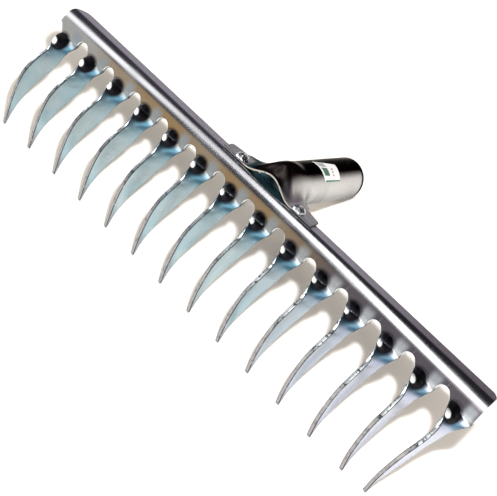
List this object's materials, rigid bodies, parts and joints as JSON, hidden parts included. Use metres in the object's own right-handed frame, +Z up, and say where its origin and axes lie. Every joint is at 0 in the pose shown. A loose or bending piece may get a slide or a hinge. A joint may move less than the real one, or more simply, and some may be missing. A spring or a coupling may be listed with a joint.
{
  "type": "rake head",
  "caption": "Garden rake head: pressed steel bar with twisted claw teeth and a riveted handle socket.",
  "frame": {"origin": "centre of the bounding box on the ground the head stands on", "axes": "+X along the bar, +Y from the teeth towards the handle socket, +Z up"},
  "size_m": [0.375, 0.1772, 0.0813],
  "materials": {
    "plated_bar": "bright zinc plate",
    "plated_socket": "bright zinc plate, darker",
    "rivet_steel": "bright zinc plate",
    "label_film": "printed film"
  },
  "bodies": {
    "root": {"rake_head": "plated_bar", "handle_socket": "plated_socket", "rivet_left": "rivet_steel", "rivet_right": "rivet_steel", "label": "label_film"}
  },
  "joints": []
}
